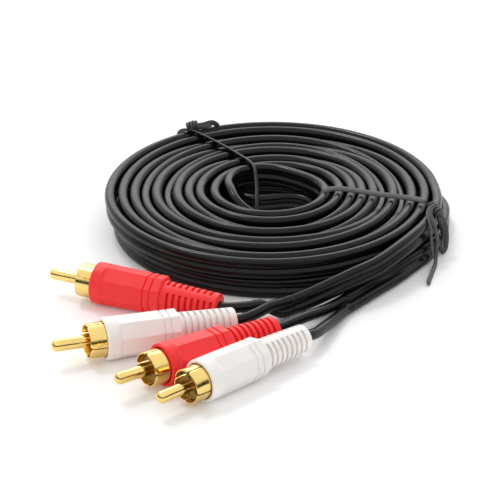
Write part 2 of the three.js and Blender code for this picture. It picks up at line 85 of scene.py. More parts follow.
# Degrees between points of a turn, where the outermost lower turn ends, and the distance and
# angles of the points that lead into the lower layer
TURN_STEP = 15
LOWER_LAST_STEP = 300
LOWER_ENTRY = 18.4
LOWER_ENTRY_ANGLES = (60, 30)

# The outer turns are drawn towards the coil's middle: most shift, where it begins and its span
NUDGE = 1.2
NUDGE_START = 13.0
NUDGE_SPAN = 30.0

# Lean of the turns: most degrees, share of the angle, and shift from one turn to the next
UPPER_LEAN = (6.0, 0.7, 97.0)
LOWER_LEAN = (4.0, 0.8, 61.0)

# How far each upper turn sinks, at its right, back, left and front
UPPER_SINK = [
    (0.0, 0.0, 0.0, 0.0),
    (0.0, 0.0, 0.0, 0.0),
    (0.0, 1.6, 0.0, 1.6),
    (1.8, 0.0, 0.7, 0.0),
    (0.0, 1.5, 0.0, 0.0),
    (1.8, 0.0, 1.4, 1.7),
    (0.0, 0.0, 0.0, 0.0),
    (0.0, 1.6, 0.0, 1.8),
    (0.0, 0.0, 0.0, 0.0),
    (0.0, 0.3, 0.0, 0.0),
    (0.0, 0.0, 0.3, 0.0),
]

# Innermost upper turn: angle and distance from the hole's middle
INNER_TURN = [
    (0, 12.4), (20, 11.8), (40, 11.4), (60, 11.6), (75, 12.4), (90, 14.0), (105, 15.8),
    (120, 17.2), (135, 17.8), (150, 17.0), (165, 15.6),
]

# Where it drops through the hole, rounds its floor and turns back into the lower layer
DROP = [
    (-5.4, 17.6, 8.9, 0), (-4.7, 14.6, 8.2, 0), (-2.9, 11.7, 6.9, 0), (0.2, 9.4, 5.4, 0),
    (4.2, 8.6, 4.1, 0), (8.8, 8.4, 3.3, 0), (13.6, 10.4, 3.05, 0), (17.2, 14.2, 3.05, 0),
    (18.4, 18.6, 3.05, 0), (16.8, 22.4, 3.05, 0), (13.2, 24.6, 3.05, 0), (9.4, 24.7, 3.05, 0),
    (5.8, 23.8, 3.05, 0), (2.4, 23.4, 3.05, 0), (-2.0, 25.2, 3.05, 0), (-3.9, 29.6, 3.05, 0),
    (-2.1, 34.0, 3.05, 0), (2.4, 35.9, 3.05, 0), (7.4, 35.6, 3.05, 0),
]

# Free ends of the twin cable, from the coil to where it splits: bearing from the coil's middle,
# distance beyond its edge, height and lean
TWIN_A = [
    (-8.0, 1.9, 9.3, 0), (-13.9, 1.9, 9.3, 0), (-20.1, 1.9, 9.3, 0), (-26.1, 2.0, 9.3, 0),
    (-34.7, 2.3, 9.3, 0), (-43.5, 3.0, 9.0, 0), (-55.0, 4.7, 8.2, 0), (-63.9, 5.8, 7.5, 0),
    (-72.8, 6.7, 5.7, 0), (-81.0, 8.5, 4.0, 0), (-86.4, 10.6, 3.5, 0),
]
TWIN_B = [
    (58.6, 2.0, 3.05, 0), (46.8, 2.1, 3.05, 0), (35.0, 2.4, 3.05, 0), (23.3, 2.6, 3.05, 0),
    (12.5, 3.4, 3.05, 0), (4.5, 4.4, 3.05, 0), (-2.4, 4.1, 3.05, 0), (-9.6, 3.8, 3.05, 0),
    (-16.3, 3.8, 3.05, 0), (-20.2, 3.8, 3.05, 0), (-25.4, 3.5, 3.05, 4), (-35.0, 2.8, 3.0, 15),
    (-44.9, 3.2, 2.8, 35), (-56.0, 4.8, 2.4, 58), (-65.9, 8.4, 2.1, 72), (-70.0, 10.6, 2.05, 72),
]

# Plugs as they lie: heading of the lead, roll on the axis, and the turns of the shell and of the
# first row of slots in it, in degrees
PLUG_KEYS = ("heading", "roll", "shell_turn", "first_row", "finish")
PLUG_PLACES = {
    "red_a": (-22.0, -13.0, 23.0, 45.0, "red"),
    "white_a": (19.4, 48.0, 0.0, 0.0, "white"),
    "red_b": (36.0, 43.0, 0.0, 0.0, "red"),
    "white_b": (42.2, 78.0, -24.0, -18.75, "white"),
}
PLUGS = {name: dict(zip(PLUG_KEYS, place)) for name, place in PLUG_PLACES.items()}

# Single leads, from the split of the twin to the mouth of the boot: bearing, distance, height
LEADS = {
    "red_a": [(-86.9, 10.6, 2.1), (-89.4, 10.2, 3.1), (-92.3, 10.4, 4.3), (-95.6, 12.4, 4.7)],
    "white_a": [(-86.9, 10.9, 5.0), (-89.8, 12.9, 5.2), (-92.8, 16.2, 5.0), (-95.1, 18.6, 4.8)],
    "red_b": [(-71.4, 9.7, 2.5), (-75.6, 12.5, 2.9), (-80.6, 16.3, 3.7), (-85.0, 20.5, 4.3)],
    "white_b": [(-69.7, 12.1, 1.6), (-74.0, 16.8, 2.1), (-77.9, 22.4, 3.2), (-80.6, 27.0, 4.2)],
}
SPLIT_OF = {"red_a": ("a", -1), "white_a": ("a", 1), "red_b": ("b", 1), "white_b": ("b", -1)}
LEAD_SPACING = 1.0
LEAD_SIDES = 24

# Sections of the swept pieces: angle of the web between the cores, points on each core, and the
# strip's points, squareness across and through, and rib over its wire
WEB_ANGLE = 24
CORE_POINTS = 12
STRIP_POINTS = 12
STRIP_SQUARENESS = (0.6, 0.8)
RIB_HEIGHT = 0.5
RIB_SHARE = 0.22
END_TAPER = (0.45, 0.12)

# Moulded plug, in millimetres behind the collar's front face
COLLAR_RADIUS = 5.65
COLLAR_LENGTH = 2.6
COLLAR_ROUND = 0.5
COLLAR_RING = 1.6
RECESS_DEPTH = 2.2
RECESS_CLEARANCE = 0.3
RECESS_LIP = (0.12, 0.1)
FLAT_ANGLE = 45.0
FLAT_RISE = 0.28
FLAT_RING_STEP = 0.12
FLAT_RINGS = 12
FLATS_FULL = 3.8
GRIP_RINGS = [5.5, 7.5, 9.5, 11.5, 13.5]
GRIP_LAST_RING = 18.6
GRIP_LENGTH = 19.8
GRIP_REAR_RADIUS = 5.45
GROOVES = (15.5, 17.4)
GROOVE_SECTION = ((-1.0, 0.0), (-0.6, 1.0), (0.6, 1.0), (1.0, 0.0))
GROOVE_HALF_WIDTH = 0.25
GROOVE_DEPTH = 0.42
SHOULDER_RADIUS = 5.1
BODY_LENGTH = 35.8
BODY_SEGMENTS = 96
BODY_CREASE = 38

# Boot of the plug; faces nearer the axis than its hollow are never cut
BOOT_START = 20.2
BOOT_FRONT_RADIUS = 4.25
BOOT_END_RADIUS = 3.6
BOOT_FILLET = (0.12, 0.15)
BOOT_END_ROUND = 0.5
BOOT_HOLLOW = 2.6
BOOT_SLOTS = 8
MOUTH_RADIUS = 1.52
MOUTH_CHAMFER = (0.15, 0.1)
MOUTH_DEPTH = 3.0
SLOT_START = 1.1
SLOT_PITCH = 1.75
SLOT_WIDTH = 0.75
SLOT_DEPTH = 1.1
SLOT_HALF_ANGLE = 75.0

# Where the lead runs inside the plug, and the span of the bare conductor
JACKET_INSET = 9.4
LEAD_INSIDE = (BODY_LENGTH + 1.2, BODY_LENGTH - 4.0, 24.0, JACKET_INSET)
CONDUCTOR_SPAN = (3.7, 9.1)

# Ground shell; its lip is given as distances behind the front and in from each face
SHELL_RADIUS = 4.6
SHELL_WALL = 0.45
SHELL_REACH = 4.5
SHELL_SLOT = 0.4
SHELL_REAR = 1.9
SHELL_RING = -0.6
SHELL_CREASE = 50
PETAL_SHOULDER = -2.4
PETAL_DRAFT = 0.03
PETAL_CORNER = 0.65
PETAL_STEPS = 40
LIP_OUTER = ((0.34, 0.0), (0.16, 0.04), (0.03, 0.15), (0.0, 0.24))
LIP_INNER = ((0.06, 0.04), (0.22, 0.0))

# Centre pin
PIN_RADIUS = 1.6
PIN_REACH = 13.8
PIN_REAR = 1.2
PIN_RINGS = (-PIN_REACH + 3.0, -4.0)
PIN_TIP = (0.02, 0.35)
PIN_DOME = 1.3
PIN_DOME_ANGLES = (14, 62)
PIN_DOME_STEPS = 9
PIN_DOME_END = 0.86
PIN_SEGMENTS = 48
PIN_CREASE = 40

# Twist ties: the way the strap's face looks at its start, the strap's middle line, the knot's two
# ends and number of turns, and each loose end
TIE_RIGHT = {
    "outward": (0.848, 0.529, 0.0),
    "strap": [
        (18.9, 12.0, 3.4), (19.4, 12.1, 6.4), (19.9, 12.3, 9.6), (21.0, 12.6, 12.1),
        (23.3, 13.1, 12.8), (28.5, 12.1, 12.95), (33.8, 10.1, 12.95), (38.4, 8.6, 12.95),
        (42.9, 7.3, 12.95), (46.6, 5.9, 13.0), (49.2, 4.0, 13.1),
    ],
    "knot": ((50.2, 2.2, 12.9), (53.1, -1.1, 10.9), 5),
    "tails": [
        [(51.2, 0.4, 13.9), (50.4, -1.2, 13.6), (50.0, -3.2, 12.9), (50.6, -5.6, 11.6),
         (51.3, -6.6, 9.6), (51.9, -6.9, 6.3), (51.6, -8.6, 2.9), (51.2, -10.9, 1.0),
         (50.2, -15.0, 0.8), (48.5, -22.3, 0.75)],
        [(50.4, 0.4, 13.3), (49.5, -2.4, 12.9), (49.3, -5.0, 12.6), (49.8, -7.8, 10.6),
         (50.0, -8.7, 8.4), (50.2, -9.6, 5.4), (50.6, -10.8, 3.4)],
        [(52.6, -1.4, 11.2), (53.0, -2.4, 9.4), (53.6, -3.4, 7.0), (53.4, -4.6, 4.6),
         (53.6, -4.8, 2.6)],
        [(53.2, -1.2, 10.9), (54.0, -1.0, 9.4), (54.6, -1.2, 7.2), (54.8, -1.6, 4.4),
         (54.5, -2.2, 1.7), (53.4, -3.8, 0.75)],
    ],
}
TIE_LEFT = {
    "outward": (-0.616, 0.788, 0.0),
    "strap": [
        (2.0, 21.2, 0.8), (2.0, 19.7, 1.9), (2.0, 19.6, 3.8), (2.0, 21.0, 5.5), (2.0, 23.6, 7.0),
        (1.9, 26.3, 8.6), (1.6, 28.6, 10.7),
        (1.1, 30.1, 12.1), (0.3, 31.4, 12.6), (-0.9, 33.6, 12.55), (-5.8, 41.0, 12.45),
        (-10.0, 46.5, 12.4), (-14.2, 51.5, 12.4), (-17.3, 54.3, 12.5), (-19.7, 56.0, 11.9),
        (-20.9, 57.3, 10.2), (-21.0, 57.9, 7.0), (-20.7, 57.6, 3.4), (-20.0, 56.8, 0.6),
    ],
    "knot": ((-18.6, 55.2, 13.1), (-15.4, 56.5, 13.3), 4),
    "tails": [
        [(-15.6, 56.5, 13.4), (-14.2, 56.8, 13.2), (-12.6, 57.4, 13.5), (-11.2, 58.0, 13.5),
         (-10.1, 58.5, 12.7), (-9.4, 59.4, 11.6)],
        [(-15.6, 56.3, 13.1), (-14.0, 56.4, 12.8), (-12.6, 56.9, 13.0), (-11.4, 57.5, 13.1)],
    ],
}
STRAP_WIDTH = 1.9
TIE_WIDTH = 1.5
TIE_THICKNESS = 0.5
TIE_SPACING = 0.45
TIE_STRAND_RADIUS = 0.42
TIE_STRAND_SIDES = 12
TAIL_TWISTS = (15.0, -25.0, 140.0, 30.0)
TAIL_FACING = (0.15, -0.9, 0.4)
KNOT_RADIUS = 1.4
KNOT_SPACING = 0.3
KNOT_LIFT = 0.15
KNOT_CORE_SHARE = 0.7
KNOT_CORE_SIDES = 16

# Wraps of the knot: points a turn, least and added share of its radius, and size and pace of the
# unevenness
WRAP_POINTS = 14
WRAP_SHARES = (0.7, 0.3)
WRAP_WOBBLE = (0.12, 11.0)

# Camera of the photograph
CAMERA_ELEVATION = 26.574
CAMERA_DISTANCE = 730.4
CAMERA_LENS = 187.49
SENSOR_WIDTH = 36.0
CAMERA_CLIP = (0.05, 20.0)

# Finishes: darkest and lightest share of the colour, range of roughness, scale of the clouds and
# depth of the grain in metres
LOOKS = {
    "jacket": ((0.8, 1.35), (0.17, 0.27), 90.0, 3e-6),
    "tie": ((0.8, 1.2), (0.42, 0.56), 140.0, 1e-5),
    "moulding": ((0.94, 1.03), (0.36, 0.47), 120.0, 1.2e-5),
    "gold": ((0.9, 1.05), (0.12, 0.22), 160.0, 3e-6),
    "insulation": ((0.9, 1.05), (0.45, 0.6), 150.0, 1e-5),
    "copper": ((0.85, 1.1), (0.25, 0.4), 200.0, 6e-6),
}
INSULATION_COLOUR = (0.62, 0.60, 0.55)
COPPER_COLOUR = (0.72, 0.32, 0.18)
JACKET_SETTINGS = {"Specular IOR Level": 0.26}
MOULDING_SETTINGS = {
    "Specular IOR Level": 0.36, "Subsurface Weight": 0.12,
    "Subsurface Radius": (1.0, 0.35, 0.3), "Subsurface Scale": 0.0006,
}
MOTTLE_DETAIL = 4.0
MOTTLE_SPREAD = (0.3, 0.7)
SCUFF_DETAIL = 6.0
SCUFF_DISTORTION = 1.6
SCUFF_EDGES = (0.62, 0.74)
SCUFF_FINENESS = 6.0
SCUFF_DULLING = 0.10
GRAIN_DETAIL = 3.0
GRAIN_FINENESS = 7.0
GLOSS_FINENESS = 3.1
SHARE_AROUND = 0.02

# Stage: sun, soft box, floor, and the direction heights between which the room darkens
SUN_WIDTH = 12.0
SUN_TILT = (-24.0, -18.0)
BOX_SIZE = (1.7, 0.9)
BOX_PLACE = (0.0, 1.3, 0.86)
BOX_TILT = -56.0
WHITE = (1.0, 1.0, 1.0, 1.0)
FLOOR_SIZE = 6.0
FLOOR_GLOW = 0.08
ROOM_AHEAD = (0.4, 0.05)
ROOM_LOW = (0.5, 0.24)


class LeadCableSettings(bpy.types.PropertyGroup):
    core_diameter: bpy.props.FloatProperty(
        name="Core Diameter", description="Outside diameter of each of the two cores",
        default=3.0 * MM, unit="LENGTH",
    )
    ring_spacing: bpy.props.FloatProperty(
        name="Ring Spacing", description="Distance between the sections of the swept cable",
        default=1.7 * MM, unit="LENGTH",
    )
    jacket_colour: bpy.props.FloatVectorProperty(
        name="Jacket Colour", description="Colour of the vinyl jacket",
        default=(0.0040, 0.0040, 0.0044), subtype="COLOR",
    )
    tie_colour: bpy.props.FloatVectorProperty(
        name="Tie Colour", description="Colour of the plastic-covered tie",
        default=(0.052, 0.053, 0.055), subtype="COLOR",
    )


class LeadPlugSettings(bpy.types.PropertyGroup):
    red_colour: bpy.props.FloatVectorProperty(
        name="Red Moulding", description="Colour of the right channel's plug",
        default=(0.98, 0.034, 0.038), subtype="COLOR",
    )
    white_colour: bpy.props.FloatVectorProperty(
        name="White Moulding", description="Colour of the left channel's plug",
        default=(0.93, 0.895, 0.865), subtype="COLOR",
    )
    gold_colour: bpy.props.FloatVectorProperty(
        name="Gold Plating", description="Colour of the plated contacts",
        default=(0.96, 0.70, 0.25), subtype="COLOR",
    )
    edge_radius: bpy.props.FloatProperty(
        name="Edge Radius", description="Rounding of the moulding's edges",
        default=0.09 * MM, unit="LENGTH",
    )


class LeadStageSettings(bpy.types.PropertyGroup):
    sky_level: bpy.props.FloatProperty(
        name="Sky Level", description="Strength of the even light from all round", default=0.79,
    )
    lamp_level: bpy.props.FloatProperty(
        name="Lamp Level", description="Strength of the large soft lamp", default=0.55,
    )
    box_power: bpy.props.FloatProperty(
        name="Soft Box Power", description="Power of the soft box behind the lead, in watts",
        default=8.5,
    )
    room_colour: bpy.props.FloatVectorProperty(
        name="Room Colour", description="Dark room that the contacts reflect",
        default=(0.035, 0.03, 0.028), subtype="COLOR",
    )


# Placing

def frame_shift():
    """Offset, in metres, from the photograph's frame to the row frame."""
    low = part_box("cable_coil")[0]
    return Vector((
        low[0] - (COIL_CENTRE[0] - COIL_RADIUS) * MM,
        low[1] - (COIL_CENTRE[1] - COIL_RADIUS) * MM,
        0.0,
    ))


SHIFT = frame_shift()


def placed(point):
    return Vector(point[:3]) * MM + SHIFT


def polar(centre, reach, angle):
    turned = math.radians(angle)
    return centre[0] + reach * math.cos(turned), centre[1] + reach * math.sin(turned)


def round_coil(route):
    """Points given by bearing and distance beyond the coil's edge, in x and y."""
    return [
        (*polar(COIL_CENTRE, COIL_RADIUS + beyond, bearing), *rest)
        for bearing, beyond, *rest in route
    ]


def plug_matrix(name):
    """Turns and moves a plug from its own axis, along +X, to where it lies."""
    plug = PLUGS[name]
    offset = abs(plug["roll"] % FLAT_ANGLE - FLAT_ANGLE / 2)
    corner = GRIP_REAR_RADIUS * math.cos(math.radians(offset))
    tilt = math.atan2(COLLAR_RADIUS - corner, GRIP_LENGTH - COLLAR_ROUND)
    turn = (
        Matrix.Rotation(math.radians(plug["heading"]), 4, "Z")
        @ Matrix.Rotation(tilt, 4, "Y")
        @ Matrix.Rotation(math.radians(plug["roll"]), 4, "X")
    )
    low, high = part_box(f"{name}_conductor")
    middle = (Vector(low) + Vector(high)) / 2
    along = sum(CONDUCTOR_SPAN) / 2 * MM
    return Matrix.Translation(middle - turn.to_3x3() @ Vector((along, 0, 0))) @ turn


# Routes

def smooth_route(points, spacing):
    """Even points along a centripetal spline; each point may carry a lean after its place."""
    rows = [tuple(p) for p in points]
    size = len(rows[0])
    rows.insert(0, tuple(2 * rows[0][i] - rows[1][i] for i in range(size)))
    rows.append(tuple(2 * rows[-1][i] - rows[-2][i] for i in range(size)))
    dense = []
    for p0, p1, p2, p3 in zip(rows, rows[1:], rows[2:], rows[3:]):
        t0 = 0.0
        t1 = t0 + math.dist(p0[:3], p1[:3]) ** 0.5
        t2 = t1 + math.dist(p1[:3], p2[:3]) ** 0.5
        t3 = t2 + math.dist(p2[:3], p3[:3]) ** 0.5
        steps = max(4, round(math.dist(p1[:3], p2[:3]) / spacing * 3))
        for k in range(steps):
            t = t1 + (t2 - t1) * k / steps
            a1 = blend_rows(p0, p1, t0, t1, t)
            a2 = blend_rows(p1, p2, t1, t2, t)
            a3 = blend_rows(p2, p3, t2, t3, t)
            b1 = blend_rows(a1, a2, t0, t2, t)
            b2 = blend_rows(a2, a3, t1, t3, t)
            dense.append(blend_rows(b1, b2, t1, t2, t))
    dense.append(rows[-2])
    return even_rows(dense, spacing)


def blend_rows(p, q, start, end, t):
    share = (t - start) / (end - start)
    return tuple(a + (b - a) * share for a, b in zip(p, q))


def even_rows(rows, spacing):
    lengths = [0.0]
    for p, q in zip(rows, rows[1:]):
        lengths.append(lengths[-1] + math.dist(p[:3], q[:3]))
    count = max(2, round(lengths[-1] / spacing))
    even = []
    at = 0
    for k in range(count + 1):
        goal = lengths[-1] * k / count
        while at < len(lengths) - 2 and lengths[at + 1] < goal:
            at += 1
        even.append(blend_rows(rows[at], rows[at + 1], lengths[at], lengths[at + 1], goal))
    return even


def eased(a, b, share):
    return a + (b - a) * (1 - math.cos(math.pi * share)) / 2


def turn_point(angle, distance, height, lean=0.0):
    """Point round the hole, nudged so that the outer turns are round about the coil's middle."""
    outer = min(1.0, max(0.0, (distance - NUDGE_START) / NUDGE_SPAN))
    reach = distance - NUDGE * math.sin(math.radians(angle)) * outer
    return (*polar(HOLE_CENTRE, reach, angle), height, lean)


def turn_distance(start, middle, end, angle):
    """Distance from the hole's middle, easing over one turn from start by middle to end."""
    if angle < 180:
        return eased(start, middle, angle / 180)
    return eased(middle, end, angle / 180 - 1)


def wandering_lean(lean, angle, turn):
    most, pace, shift = lean
    return most * math.sin(math.radians(angle * pace + turn * shift))


def upper_turns():
    """Upper layer from the outside in, anticlockwise seen from above."""
    points = []
    for turn in range(len(UPPER_LEFT)):
        sinks = UPPER_SINK[turn] + (UPPER_SINK[turn + 1][0],)
        for angle in range(0, 360, TURN_STEP):
            distance = turn_distance(
                UPPER_RIGHT[turn], UPPER_LEFT[turn], UPPER_RIGHT[turn + 1], angle,
            )
            quarter = angle // 90
            sink = eased(sinks[quarter], sinks[quarter + 1], angle / 90 - quarter)
            lean = wandering_lean(UPPER_LEAN, angle, turn)
            points.append(turn_point(angle, distance, UPPER_HEIGHT - sink, lean))
    for angle, distance in INNER_TURN:
        points.append((*polar(HOLE_CENTRE, distance, angle), UPPER_HEIGHT, 0.0))
    return points


def lower_turns():
    """Lower layer from the inside out, clockwise seen from above."""
    points = [turn_point(angle, LOWER_ENTRY, LOWER_HEIGHT) for angle in LOWER_ENTRY_ANGLES]
    last = len(LOWER_LEFT) - 1
    for turn in range(len(LOWER_LEFT)):
        for step in range(0, LOWER_LAST_STEP if turn == last else 360, TURN_STEP):
            distance = turn_distance(
                LOWER_RIGHT[turn], LOWER_LEFT[turn], LOWER_RIGHT[turn + 1], step,
            )
            lean = wandering_lean(LOWER_LEAN, step, turn)
            points.append(turn_point(-step, distance, LOWER_HEIGHT, lean))
    return points


def twin_route():
    free_a = list(reversed(round_coil(TWIN_A)))
    points = free_a + upper_turns() + DROP + lower_turns() + round_coil(TWIN_B)
    return [tuple(placed(p)) + (math.radians(p[3]),) for p in points]


# Swept shapes

def section_frame(points, i, up, angle):
    """Across and up directions of one section turned by the angle, and up before that turn."""
    tangent = (points[min(i + 1, len(points) - 1)] - points[max(i - 1, 0)]).normalized()
    up = (up - tangent * tangent.dot(up)).normalized()
    side = tangent.cross(up)
    across = side * math.cos(angle) - up * math.sin(angle)
    return (across, up * math.cos(angle) + side * math.sin(angle)), up


def upright_frames(points, leans):
    """Frames of the sections, each kept upright apart from its lean."""
    up = Vector((0, 0, 1))
    return [section_frame(points, i, up, lean)[0] for i, lean in enumerate(leans)]


def carried_frames(points, first_up, twist=0.0):
    """Frames carried along the route without turning, apart from an even twist."""
    frames = []
    up = Vector(first_up)
    for i in range(len(points)):
        turned, up = section_frame(points, i, up, twist * i / (len(points) - 1))
        frames.append(turned)
    return frames


def sweep(bm, points, frames, section, ends=0.0):
    """Tube of the section along the route, with a UV map in metres along and shares around."""
    uv_layer = bm.loops.layers.uv.verify()
    rings = []
    travelled = [0.0]
    for i, (point, (side, up)) in enumerate(zip(points, frames)):
        if i:
            travelled.append(travelled[-1] + (point - points[i - 1]).length)
        near_end = min(i, len(points) - 1 - i)
        scale = 1.0 - (ends * END_TAPER[near_end] if near_end < len(END_TAPER) else 0.0)
        rings.append([bm.verts.new(point + side * x * scale + up * y * scale) for x, y in section])
    count = len(section)
    for i in range(len(rings) - 1):
        for k in range(count):
            after = (k + 1) % count
            ring, next_ring = rings[i], rings[i + 1]
            face = bm.faces.new((ring[k], next_ring[k], next_ring[after], ring[after]))
            face.smooth = True
            spots = ((i, k), (i + 1, k), (i + 1, k + 1), (i, k + 1))
            for loop, (at, place) in zip(face.loops, spots):
                loop[uv_layer].uv = (travelled[at], place / count)
    bm.faces.new(rings[0])
    bm.faces.new(list(reversed(rings[-1])))


def twin_section(radius):
    """Two round cores moulded together, with a narrow web between them."""
    points = []
    for centre, start in ((radius, -90 + WEB_ANGLE), (-radius, 90 + WEB_ANGLE)):
        for k in range(CORE_POINTS + 1):
            angle = math.radians(start + (360 - 2 * WEB_ANGLE) * k / CORE_POINTS)
            points.append((radius * math.cos(angle), centre + radius * math.sin(angle)))
    return points


def round_section(radius, sides):
    return [
        (radius * math.cos(2 * math.pi * k / sides), radius * math.sin(2 * math.pi * k / sides))
        for k in range(sides)
    ]


def strip_section(width, thickness):
    """Flat strip, thicker over the wire in its middle."""
    points = []
    across, through = STRIP_SQUARENESS
    for k in range(STRIP_POINTS):
        angle = 2 * math.pi * k / STRIP_POINTS
        x = math.copysign(abs(math.cos(angle)) ** across, math.cos(angle)) * width / 2
        y = math.copysign(abs(math.sin(angle)) ** through, math.sin(angle)) * thickness / 2
        rib = 1.0 + RIB_HEIGHT * max(0.0, 1.0 - abs(x) / (width * RIB_SHARE))
        points.append((x, y * rib))
    return points


# Finishes

def preset(node, values):
    for name, value in values.items():
        node.inputs[name].default_value = value


def math_node(tree, operation, *values):
    """Output of a math node fed with sockets or plain numbers."""
    node = tree.nodes.new("ShaderNodeMath")
    node.operation = operation
    for socket, value in zip(node.inputs, values):
        if isinstance(value, bpy.types.NodeSocket):
            tree.links.new(value, socket)
        else:
            socket.default_value = value
    return node.outputs["Value"]


def range_node(tree, value, edges, interpolation):
    """Map range that is 0 at the first edge and 1 at the second."""
    node = tree.nodes.new("ShaderNodeMapRange")
    node.interpolation_type = interpolation
    preset(node, dict(zip(("From Min", "From Max"), edges)))
    tree.links.new(value, node.inputs["Value"])
    return node


def noise_node(tree, start, scale, detail):
    node = tree.nodes.new("ShaderNodeTexNoise")
    node.inputs["Detail"].default_value = detail
    tree.links.new(start["Coordinates"], node.inputs["Vector"])
    tree.links.new(scale, node.inputs["Scale"])
    return node


def node_group(name, inputs, outputs):
    """Node group of plain numbers besides its coordinates, with its inner sockets."""
    group = bpy.data.node_groups.new(name, "ShaderNodeTree")
    face = group.interface
    face.new_socket("Coordinates", in_out="INPUT", socket_type="NodeSocketVector")
    for way, sockets in (("INPUT", inputs), ("OUTPUT", outputs)):
        for socket in sockets:
            face.new_socket(socket, in_out=way, socket_type="NodeSocketFloat")
    start = group.nodes.new("NodeGroupInput").outputs
    return group, start, group.nodes.new("NodeGroupOutput").inputs


def mottle_group():
    """Cloudy value between two levels, for colour and gloss that are never quite even."""
    group, start, end = node_group("Mottle", ("Scale", "Low", "High"), ("Value",))
    noise = noise_node(group, start, start["Scale"], MOTTLE_DETAIL)
    spread = range_node(group, noise.outputs["Fac"], MOTTLE_SPREAD, "LINEAR")
    group.links.new(start["Low"], spread.inputs["To Min"])
    group.links.new(start["High"], spread.inputs["To Max"])
    group.links.new(spread.outputs["Result"], end["Value"])


def scuff_group():
    """Mask of short fine marks that handling leaves, and the grain of the mould."""
    group, start, end = node_group("Scuffs", ("Scale",), ("Mask", "Height"))
    marks = noise_node(group, start, start["Scale"], SCUFF_DETAIL)
    marks.inputs["Distortion"].default_value = SCUFF_DISTORTION
    ramp = group.nodes.new("ShaderNodeValToRGB")
    for element, edge in zip(ramp.color_ramp.elements, SCUFF_EDGES):
        element.position = edge
    finer = math_node(group, "MULTIPLY", start["Scale"], GRAIN_FINENESS)
    grain = noise_node(group, start, finer, GRAIN_DETAIL)
    group.links.new(marks.outputs["Fac"], ramp.inputs["Fac"])
    group.links.new(ramp.outputs["Color"], end["Mask"])
    group.links.new(grain.outputs["Fac"], end["Height"])


def finish_material(name, colour, look, along=False, **settings):
    """Principled finish whose colour, gloss and surface vary; the settings are its plain ones."""
    shade, rough, scale, grain = LOOKS[look]
    material = bpy.data.materials.new(name)
    material.use_nodes = True
    nodes = material.node_tree.nodes
    link = material.node_tree.links.new
    surface = nodes["Principled BSDF"]
    spot = nodes.new("ShaderNodeTexCoord")
    mapping = nodes.new("ShaderNodeMapping")
    link(spot.outputs["UV" if along else "Object"], mapping.inputs["Vector"])
    preset(mapping, {"Scale": (1.0, SHARE_AROUND if along else 1.0, 1.0)})

    def group(tree, size, **levels):
        node = nodes.new("ShaderNodeGroup")
        node.node_tree = bpy.data.node_groups[tree]
        preset(node, {"Scale": size, **levels})
        link(mapping.outputs["Vector"], node.inputs["Coordinates"])
        return node.outputs

    clouds = group("Mottle", scale, Low=shade[0], High=shade[1])
    gloss = group("Mottle", scale * GLOSS_FINENESS, Low=rough[0], High=rough[1])
    scuffs = group("Scuffs", scale * SCUFF_FINENESS)
    tint = nodes.new("ShaderNodeMix")
    tint.data_type = "RGBA"
    tint.blend_type = "MULTIPLY"
    tint.inputs["Factor"].default_value = 1.0
    tint.inputs["A"].default_value = (*colour, 1.0)
    link(clouds["Value"], tint.inputs["B"])
    link(tint.outputs["Result"], surface.inputs["Base Color"])
    worn = math_node(
        material.node_tree, "MULTIPLY_ADD", scuffs["Mask"], SCUFF_DULLING, gloss["Value"],
    )
    link(worn, surface.inputs["Roughness"])
    bump = nodes.new("ShaderNodeBump")
    preset(bump, {"Strength": 1.0, "Distance": grain})
    link(scuffs["Height"], bump.inputs["Height"])
    link(bump.outputs["Normal"], surface.inputs["Normal"])
    preset(surface, settings)
    return material


def finishes():
    """Every finish of the lead, made once and found by name."""
    if "Jacket" in bpy.data.materials:
        return bpy.data.materials
    mottle_group()
    scuff_group()
    cable = bpy.context.scene.lead_cable
    plug = bpy.context.scene.lead_plug
    finish_material("Jacket", cable.jacket_colour, "jacket", along=True, **JACKET_SETTINGS)
    finish_material("Tie", cable.tie_colour, "tie", along=True)
    finish_material("red", plug.red_colour, "moulding", **MOULDING_SETTINGS)
    finish_material("white", plug.white_colour, "moulding", **MOULDING_SETTINGS)
    finish_material("Gold", plug.gold_colour, "gold", Metallic=1.0)
    finish_material("Insulation", INSULATION_COLOUR, "insulation")
    finish_material("Copper", COPPER_COLOUR, "copper", Metallic=1.0)
    return bpy.data.materials


def finished_piece(name, bm, material, crease=None, matrix=Matrix()):
    """Object of the turned mesh, at the origin, riding on the lead's only body."""
    bmesh.ops.recalc_face_normals(bm, faces=bm.faces)
    bmesh.ops.transform(bm, matrix=matrix, verts=bm.verts)
    mesh = bpy.data.meshes.new(name)
    bm.to_mesh(mesh)
    bm.free()
    if crease:
        mesh.set_sharp_from_angle(angle=math.radians(crease))
    piece = bpy.data.objects.new(name, mesh)
    bpy.context.scene.collection.objects.link(piece)
    mesh.materials.append(finishes()[material])
    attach(piece, next(iter(frame["bodies"])))
    return piece


# Plugs

def spin_profile(bm, profile, segments):
    """Closed solid of revolution about +X from a profile of (distance along, radius) points."""
    verts = [bm.verts.new((along * MM, 0.0, radius * MM)) for along, radius in profile]
    edges = [bm.edges.new(pair) for pair in zip(verts, verts[1:])]
    bmesh.ops.spin(
        bm, geom=verts + edges, cent=(0, 0, 0), axis=(1, 0, 0), angle=math.tau,
        steps=segments, use_merge=True, use_duplicate=False,
    )
    bmesh.ops.remove_doubles(bm, verts=bm.verts, dist=1e-6)
    bmesh.ops.recalc_face_normals(bm, faces=bm.faces)
    for face in bm.faces:
        face.smooth = True


def boot_radius(along):
    share = (along - BOOT_START) / (BODY_LENGTH - BOOT_START)
    return BOOT_FRONT_RADIUS + (BOOT_END_RADIUS - BOOT_FRONT_RADIUS) * share


def slot_places(row):
    """Distances along of one row of slots; the two rows are half a pitch apart."""
    stagger = row / 2
    return [BOOT_START + SLOT_START + SLOT_PITCH * (i + stagger) for i in range(BOOT_SLOTS)]


